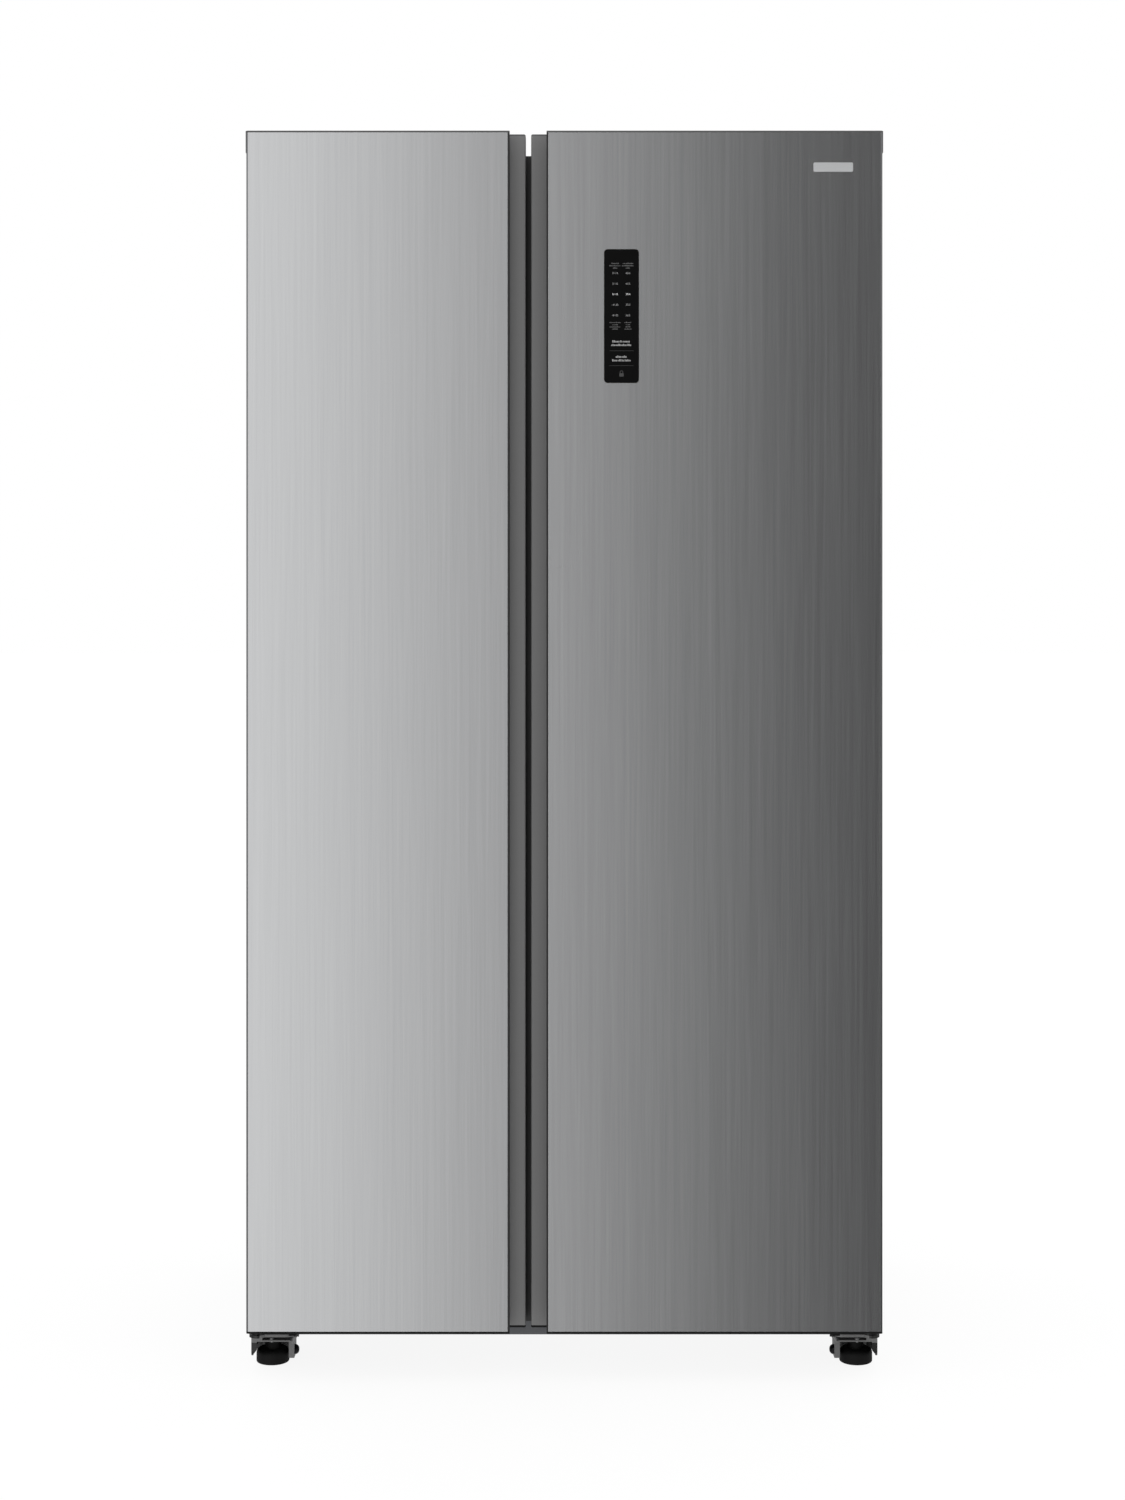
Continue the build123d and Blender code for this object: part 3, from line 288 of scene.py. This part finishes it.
def zinc():
    """Plated screws and pins, with the two pins by each front foot black."""
    s = Surface("zinc_steel", metallic=1.0)
    grain = s.noise(900.0, 3.0, 0.6)
    drift = s.noise(60.0, 3.0)
    both = s.math("ADD", s.math("MULTIPLY", grain, 0.4), s.math("MULTIPLY", drift, 0.6))
    plate = s.mix(both, (0.42, 0.425, 0.43), (0.60, 0.605, 0.61))
    low = s.math("LESS_THAN", s.axis("Z"), 0.03)
    front = s.math("LESS_THAN", s.axis("Y"), 0.0)
    s.tone(s.math("MULTIPLY", low, front), plate, (0.02, 0.02, 0.022))
    s.polish(both, 0.26, 0.42)
    s.bump(grain, 0.00004, 0.5)
    return s.material


def foam():
    """Poured insulation with small open cells."""
    s = Surface("foam", roughness=0.9)
    cells = s.cells(700.0)
    drift = s.noise(18.0, 4.0)
    s.tone(drift, (0.72, 0.58, 0.30), (0.88, 0.78, 0.50))
    s.bump(cells, 0.0006, 0.6)
    return s.material


def liner_plastic(name, colour, rough):
    """Thermoformed sheet: glossy, faintly wavy from drawing over the mould."""
    s = Surface(name, coat_weight=0.3, coat_roughness=0.12)
    drift = s.noise(6.0, 2.0)
    s.tone(drift, tuple(c * 0.965 for c in colour), colour)
    s.polish(drift, rough, rough + 0.08)
    s.bump(s.noise(22.0, 2.0), 0.0006, 0.12)
    s.bump(s.noise(1300.0, 1.0), 0.00003, 0.3)
    return s.material


def grained(name, colour, rough=(0.42, 0.56), per_metre=1500.0, depth=0.00008, **sockets):
    """Moulded plastic with a spark-eroded grain."""
    s = Surface(name, **sockets)
    grain = s.cells(per_metre)
    drift = s.noise(30.0, 3.0)
    s.tone(drift, tuple(c * 0.88 for c in colour), tuple(c * 1.14 for c in colour))
    s.polish(drift, *rough)
    s.bump(grain, depth, 0.6)
    return s.material


GRIP_STRIP = (FRONT + 0.013, FRONT + 0.033)  # depths between which the grip profile is grey


def extruded(name, colour, trim_and_side_shade):
    """Extruded grey profile: grey where the strip faces out, with painted shade making its edge trim and
    its side dark.
    """
    s = Surface(name, coat_weight=0.15, coat_roughness=0.3)
    die = s.noise((900.0, 900.0, 1.5), 3.0)
    strip = s.mix(die, tuple(c * 0.93 for c in colour), tuple(c * 1.07 for c in colour))
    depth = s.axis("Y")
    # Painted shade: the edge trim beside the hem and the side facing the gap between the doors are dark.
    trim = s.math("LESS_THAN", depth, GRIP_STRIP[0])
    side = s.math("GREATER_THAN", depth, GRIP_STRIP[1])
    s.tone(s.math("ADD", trim, side), strip, trim_and_side_shade)
    s.polish(die, 0.36, 0.46)
    s.bump(die, 0.00005, 0.4)
    return s.material


def rubber():
    """Door gasket, soft and matt."""
    s = Surface("grey_gasket", roughness=0.62, sheen_weight=0.15, sheen_roughness=0.5)
    drift = s.noise(40.0, 3.0)
    s.tone(drift, (0.24, 0.245, 0.25), (0.31, 0.315, 0.32))
    s.bump(s.noise(800.0, 2.0), 0.00008, 0.5)
    return s.material


def black_glass():
    """Touch panel's cover, faintly smeared."""
    s = Surface("black_glass", specular_ior_level=0.14, ior=1.45)
    smear = s.noise(35.0, 3.0, 0.6)
    s.tone(smear, grey(7), grey(10))
    s.polish(smear, 0.10, 0.17)
    return s.material


def clear_glass():
    """Shelf pane: clear through its faces and green at its ground edges."""
    s = Surface("shelf_glass", transmission_weight=1.0, ior=1.5)
    up = s.node("SeparateXYZ")
    s.link(s.node("NewGeometry").outputs["Normal"], up.inputs[0])
    face = s.span(s.math("ABSOLUTE", up.outputs[2]), 0.4, 0.9, 0.0, 1.0)
    s.tone(face, (0.35, 0.72, 0.62), (0.93, 0.985, 0.97))
    haze = s.noise(30.0, 3.0)
    s.feed(s.bsdf.inputs["Roughness"], s.mix(face, (0.35, 0.35, 0.35), s.span(haze, 0.3, 0.7, 0.01, 0.04)))
    return s.material


def clear_plastic():
    """Moulded clear tub, with flow marks and a soft surface."""
    s = Surface("clear_tub", transmission_weight=0.7, ior=1.38, specular_ior_level=0.5)
    flow = s.noise((14.0, 14.0, 30.0), 4.0, 0.6)
    s.tone(flow, (0.90, 0.93, 0.94), (0.95, 0.965, 0.97))
    s.polish(flow, 0.07, 0.16)
    s.bump(flow, 0.0004, 0.25)
    return s.material


def lamp_lens():
    """Milky cover with fine upright ribs."""
    s = Surface("lamp_lens", transmission_weight=0.25, ior=1.49)
    ribs = s.node("TexWave", wave_type="BANDS", bands_direction="X")
    s.link(s.place, ribs.inputs["Vector"])
    ribs.inputs["Scale"].default_value = 95.0
    s.tone(ribs.outputs["Fac"], (0.84, 0.86, 0.87), (0.95, 0.96, 0.96))
    s.polish(ribs.outputs["Fac"], 0.2, 0.3)
    s.bump(ribs.outputs["Fac"], 0.0005, 0.5)
    return s.material


def enamel(name, low, high):
    """Black enamel dipped over a pressed or drawn shape."""
    s = Surface(name, coat_weight=0.6, coat_roughness=0.08)
    runs = s.noise((26.0, 26.0, 9.0), 4.0, 0.6)
    s.tone(runs, (low,) * 3, (high,) * 3)
    s.polish(runs, 0.28, 0.45)
    s.bump(s.noise(300.0, 2.0), 0.0002, 0.3)
    return s.material


def bright_aluminium():
    """Evaporator fins and tube."""
    s = Surface("coil_aluminium", metallic=1.0)
    drift = s.noise((40.0, 40.0, 40.0), 4.0)
    s.tone(drift, (0.66, 0.67, 0.68), (0.80, 0.81, 0.82))
    s.polish(drift, 0.22, 0.42)
    s.bump(s.noise(600.0, 2.0), 0.0001, 0.4)
    return s.material


def printed(name, level):
    """Silk-screened ink: slightly uneven and satin."""
    s = Surface(name)
    ink = s.noise(1800.0, 2.0)
    s.tone(ink, grey(level * 0.9), grey(level))
    s.polish(ink, 0.4, 0.55)
    return s.material


MATERIALS = {
    "brushed_steel": brushed_steel(),
    # The cabinet's front frame is near black as painted shade for the deep gap between the doors.
    "cabinet_paint": painted("cabinet_paint", grey(104, (0.97, 1.0, 1.07)), front=grey(25)),
    "rear_steel": galvanised(),
    "chassis_steel": painted("chassis_steel", grey(86, (0.95, 1.0, 1.08)), 1.2, (0.4, 0.55), 0.1),
    "zinc_steel": zinc(),
    "hinge_grey": bracket_paint(),
    "foam": foam(),
    "white_liner": liner_plastic("white_liner", (0.86, 0.875, 0.88), 0.2),
    "white_moulding": liner_plastic("white_moulding", (0.78, 0.80, 0.81), 0.32),
    "dark_cap": grained("dark_cap", grey(78)),
    "grip_grey": extruded("grip_grey", grey(115), grey(18)),
    "black_moulding": grained("black_moulding", grey(14), (0.55, 0.7), specular_ior_level=0.2),
    "grey_gasket": rubber(),
    "black_glass": black_glass(),
    "shelf_glass": clear_glass(),
    "clear_tub": clear_plastic(),
    "lamp_lens": lamp_lens(),
    "compressor_black": enamel("compressor_black", 0.012, 0.028),
    "coil_black": enamel("coil_black", 0.018, 0.035),
    "coil_aluminium": bright_aluminium(),
    "nylon": grained("nylon", grey(205, (1.0, 1.0, 0.96)), (0.35, 0.5), 900.0, 0.00005),
}
for part in frame["record"]["subparts"]:
    mesh = nodes[part["node"]].data
    mesh.materials.clear()
    mesh.materials.append(MATERIALS[part["material_slot"]])


# ---- new pieces ---------------------------------------------------------------------------------
def piece(name, mesh_data, material, body):
    """A finished mesh in the row frame, riding on a body."""
    made = bpy.data.objects.new(name, mesh_data)
    bpy.context.scene.collection.objects.link(made)
    made.data.materials.clear()
    made.data.materials.append(material)
    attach(made, body)
    return made


def from_bmesh(name, bm):
    mesh = bpy.data.meshes.new(name)
    bmesh.ops.recalc_face_normals(bm, faces=bm.faces)
    bm.to_mesh(mesh)
    bm.free()
    return mesh


def plate_outline(width, height, radius, steps=5):
    """Points of a rounded rectangle round the origin, in order."""
    radius = min(radius, width / 2 - 1e-6, height / 2 - 1e-6)
    points = []
    corners = ((1, 1, 0), (-1, 1, 90), (-1, -1, 180), (1, -1, 270))
    for sx, sz, start in corners:
        cx, cz = sx * (width / 2 - radius), sz * (height / 2 - radius)
        for i in range(steps + 1):
            angle = math.radians(start + 90 * i / steps)
            points.append((cx + radius * math.cos(angle), cz + radius * math.sin(angle)))
    return points


def add_plate(bm, centre, outline, y_front, y_back):
    """A closed plate facing the front, with its outline in x and z."""
    front = [bm.verts.new((centre[0] + x, y_front, centre[1] + z)) for x, z in outline]
    back = [bm.verts.new((centre[0] + x, y_back, centre[1] + z)) for x, z in outline]
    bm.faces.new(front)
    bm.faces.new(list(reversed(back)))
    for i in range(len(outline)):
        j = (i + 1) % len(outline)
        bm.faces.new((front[i], back[i], back[j], front[j]))


# ---- control panel ------------------------------------------------------------------------------
PANEL_LOW, PANEL_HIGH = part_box("display_panel")
GLASS_FACE = PANEL_LOW.y
INK_FRONT, INK_BACK = GLASS_FACE - 0.00006, GLASS_FACE + 0.0002
PANEL_X = (PANEL_LOW.x + PANEL_HIGH.x) / 2
COLUMN = 0.0092  # each column's offset from the panel's middle
WARM_COLUMN = ("43/6", "41/5", "39/4", "37/3", "36/2")
COLD_COLUMN = ("7/-14", "3/-16", "0/-18", "-4/-20", "-8/-22")


def number(name, text, x, z, height, material):
    """Numerals as a thin raised print."""
    curve = bpy.data.curves.new(name, "FONT")
    curve.body = text
    curve.align_x, curve.align_y = "CENTER", "CENTER"
    curve.size = height / 0.7
    curve.resolution_u = 3
    made = bpy.data.objects.new(name, curve)
    bpy.context.scene.collection.objects.link(made)
    bpy.context.view_layer.update()
    flat = bpy.data.meshes.new_from_object(made.evaluated_get(bpy.context.evaluated_depsgraph_get()))
    bpy.data.objects.remove(made)
    bm = bmesh.new()
    bm.from_mesh(flat)
    bmesh.ops.remove_doubles(bm, verts=bm.verts, dist=1e-7)
    faces = list(bm.faces)
    raised = bmesh.ops.extrude_face_region(bm, geom=faces)
    for vertex in (g for g in raised["geom"] if isinstance(g, bmesh.types.BMVert)):
        vertex.co.z += INK_BACK - INK_FRONT
    for vertex in bm.verts:
        px, pz, depth = vertex.co
        vertex.co = (x + px, INK_BACK - depth, z + pz)
    return piece(name, from_bmesh(name, bm), material, "fridge_door")


def word_row(bm, rng, x, z, width, height):
    """One line of meaningless strokes that reads as small print from afar."""
    left = x - width / 2
    right = x + width / 2
    while left < right - height * 0.3:
        stroke = min(height * rng.uniform(0.3, 0.62), right - left)
        rise = height * rng.choice((0.72, 0.72, 1.0))
        outline = plate_outline(stroke, rise, height * 0.14, 2)
        add_plate(bm, (left + stroke / 2, z - (height - rise) / 2), outline, INK_FRONT, INK_BACK)
        left += stroke + height * rng.choice((0.16, 0.16, 0.16, 0.4))


def small_print(name, rows, material, seed):
    bm = bmesh.new()
    rng = random.Random(seed)
    for x, z, width, height in rows:
        word_row(bm, rng, x, z, width, height)
    return piece(name, from_bmesh(name, bm), material, "fridge_door")


def lock_icon(z, material):
    """Padlock: a body and a shackle."""
    bm = bmesh.new()
    add_plate(bm, (PANEL_X, z - 0.0016), plate_outline(0.0062, 0.0048, 0.0008), INK_FRONT, INK_BACK)
    inner, outer, steps = 0.0015, 0.0023, 12
    arch = []
    for radius, order in ((outer, range(steps + 1)), (inner, range(steps, -1, -1))):
        side = radius if radius == outer else -radius
        arch.append((side, 0.0))
        for i in order:
            angle = math.pi * i / steps
            arch.append((radius * math.cos(angle), 0.0016 + radius * math.sin(angle)))
        arch.append((-side, 0.0))
    add_plate(bm, (PANEL_X, z + 0.0008), arch, INK_FRONT, INK_BACK)
    mesh = from_bmesh("panel_lock_icon", bm)
    return piece("panel_lock_icon", mesh, material, "fridge_door")


def control_panel():
    dim, plain, lit = printed("ink_dim", 92), printed("ink_plain", 158), printed("ink_lit", 228)
    faint = printed("ink_faint", 62)
    top = PANEL_HIGH.z
    cold, warm = PANEL_X - COLUMN, PANEL_X + COLUMN
    heads = []
    for x, widths in ((cold, (0.0105, 0.0160, 0.0062)), (warm, (0.0150, 0.0172, 0.0064))):
        heads += [(x, top - 0.0200 - 0.0033 * i, width, 0.0019) for i, width in enumerate(widths)]
    feet = []
    for x, widths in ((cold, (0.0160, 0.0085, 0.0155, 0.0080)), (warm, (0.0098, 0.0060, 0.0066, 0.0096))):
        feet += [(x, top - 0.1043 - 0.0031 * i, width, 0.0017) for i, width in enumerate(widths)]
    small_print("panel_headings", heads, dim, 3)
    small_print("panel_notes", feet, dim, 8)
    for i, (left, right) in enumerate(zip(COLD_COLUMN, WARM_COLUMN)):
        z = top - 0.0341 - 0.01503 * i
        ink = lit if i == 2 else plain
        number(f"panel_cold_{i + 1}", left, cold, z, 0.0027, ink)
        number(f"panel_warm_{i + 1}", right, warm, z, 0.0027, ink)
    titles = [(0.1313, 0.0262), (0.1364, 0.0292), (0.1531, 0.0163), (0.1583, 0.0266)]
    small_print("panel_titles", [(PANEL_X, top - drop, width, 0.0031) for drop, width in titles], plain, 5)
    bm = bmesh.new()
    for drop in (0.1447, 0.1659):
        add_plate(bm, (PANEL_X, top - drop), plate_outline(0.0345, 0.0004, 0.0001, 1), INK_FRONT, INK_BACK)
    piece("panel_rules", from_bmesh("panel_rules", bm), faint, "fridge_door")
    lock_icon(top - 0.1775, faint)


control_panel()


# ---- trim bar -----------------------------------------------------------------------------------
BAR_X, BAR_Z = 0.3835, 1.734
BAR_WIDTH, BAR_HEIGHT = 0.0562, 0.0132
BAR_RINGS = ((0.0, 0.0004), (0.0, 0.00005), (0.0004, 0.00001))  # inset and depth behind the door's front


def satin():
    s = Surface("satin_bar", metallic=0.6)
    grain = s.noise((60.0, 60.0, 1600.0), 3.0)
    s.tone(grain, (0.62, 0.63, 0.64), (0.70, 0.71, 0.72))
    s.polish(grain, 0.3, 0.4)
    return s.material


def trim_bar():
    """Plain satin bar in the stamped seat near the fridge door's upper outer corner, with no lettering."""
    bm = bmesh.new()
    rings = []
    for inset, depth in BAR_RINGS:
        outline = plate_outline(BAR_WIDTH - 2 * inset, BAR_HEIGHT - 2 * inset, 0.0018, 6)
        rings.append([bm.verts.new((BAR_X + x, FRONT + depth, BAR_Z + z)) for x, z in outline])
    for low, high in zip(rings, rings[1:]):
        for i in range(len(low)):
            j = (i + 1) % len(low)
            bm.faces.new((low[i], low[j], high[j], high[i]))
    bm.faces.new(rings[0])
    bm.faces.new(rings[-1])
    piece("door_trim_bar", from_bmesh("door_trim_bar", bm), satin(), "fridge_door")


trim_bar()


# ---- camera, light and floor --------------------------------------------------------------------
EYE_X, EYE_HEIGHT, EYE_DISTANCE = -0.0027, 1.1878, 3.6


def camera():
    """Level at eye height, shifted down to frame the object."""
    data = bpy.data.cameras.new("camera")
    data.lens, data.sensor_width = 60.58, 36.0
    data.shift_y = -0.1333
    data.clip_end = 60.0
    made = bpy.data.objects.new("camera", data)
    bpy.context.scene.collection.objects.link(made)
    made.location = (EYE_X, FRONT - EYE_DISTANCE, EYE_HEIGHT)
    made.rotation_euler = (math.pi / 2, 0.0, 0.0)
    bpy.context.scene.camera = made


def floor():
    """Pale ground that nearly vanishes into the surroundings."""
    bm = bmesh.new()
    bmesh.ops.create_grid(bm, x_segments=8, y_segments=8, size=25.0)
    mesh = from_bmesh("floor", bm)
    made = bpy.data.objects.new("floor", mesh)
    made.location.z = FLOOR
    bpy.context.scene.collection.objects.link(made)
    s = Surface("floor", roughness=0.9, specular_ior_level=0.0)
    s.tone(s.noise(3.0, 2.0), (0.1, 0.1, 0.1), (0.11, 0.11, 0.11))
    s.set("Emission Color", (1.0, 1.0, 1.0))
    s.set("Emission Strength", 0.9)
    mesh.materials.append(s.material)
    made.visible_glossy = False


# Brightness of the soft box by the sideways part of a reflection's direction, left to right.
SOFT_BOX = (
    (-1.0, 0.63),
    (-0.7, 0.72),
    (-0.5, 0.82),
    (-0.35, 0.94),
    (-0.25, 1.16),
    (-0.18, 1.25),
    (-0.12, 1.13),
    (-0.06, 0.79),
    (0.0, 0.41),
    (0.06, 0.21),
    (0.12, 0.0),
    (0.18, 0.0),
    (0.25, 0.08),
    (0.35, 0.22),
    (0.5, 0.46),
    (0.7, 0.58),
    (1.0, 0.6),
)
SOFT_BOX_PEAK = 1.25
# What rounded outer edges mirror from far to the side, by the reflection's upward part.
EDGE_LIGHT = ((-0.29, 0.08), (-0.2, 0.16), (-0.075, 0.35), (0.067, 0.58), (0.16, 0.45), (0.4, 0.6))


def studio():
    """White surroundings. Reflections see one large soft box on the left that fades to the right."""
    world = bpy.data.worlds.new("studio")
    bpy.context.scene.world = world
    world.use_nodes = True
    g = Graph(world.node_tree)
    background = g.tree.nodes["Background"]
    way = g.node("SeparateXYZ")
    g.link(g.node("TexCoord").outputs["Generated"], way.inputs[0])
    x, y, z = way.outputs
    stops = [((across + 1) / 2, level / SOFT_BOX_PEAK) for across, level in SOFT_BOX]
    front = g.ramp(g.span(x, -1.0, 1.0, 0.0, 1.0), stops)
    front = g.math("MULTIPLY", front, SOFT_BOX_PEAK)
    edge = g.ramp(g.span(z, -0.4, 0.4, 0.0, 1.0), [((up + 0.4) / 0.8, level) for up, level in EDGE_LIGHT])
    front = g.mix(g.span(g.math("ABSOLUTE", x), 0.75, 0.9, 0.0, 1.0, True), front, edge)
    behind = g.span(z, -0.5, 0.8, 0.35, 0.95)
    shine = g.mix(g.span(y, -0.35, 0.15, 0.0, 1.0, True), front, behind)
    under = g.span(z, -0.72, -0.42, 1.0, 0.0, True)
    shine = g.mix(under, shine, (0.62, 0.62, 0.62))
    over = g.span(z, 0.35, 0.9, 0.0, 1.0, True)
    shine = g.mix(over, shine, (1.0, 1.0, 1.0))
    fill = g.span(z, -0.2, 1.0, 0.85, 1.25)
    path = g.node("LightPath")
    light = g.mix(path.outputs["Is Glossy Ray"], fill, shine)
    light = g.mix(path.outputs["Is Camera Ray"], light, (1.0, 1.0, 1.0))
    g.link(light, background.inputs["Color"])
    background.inputs["Strength"].default_value = 1.0


camera()
floor()
studio()
bpy.context.scene.view_settings.view_transform = "Standard"
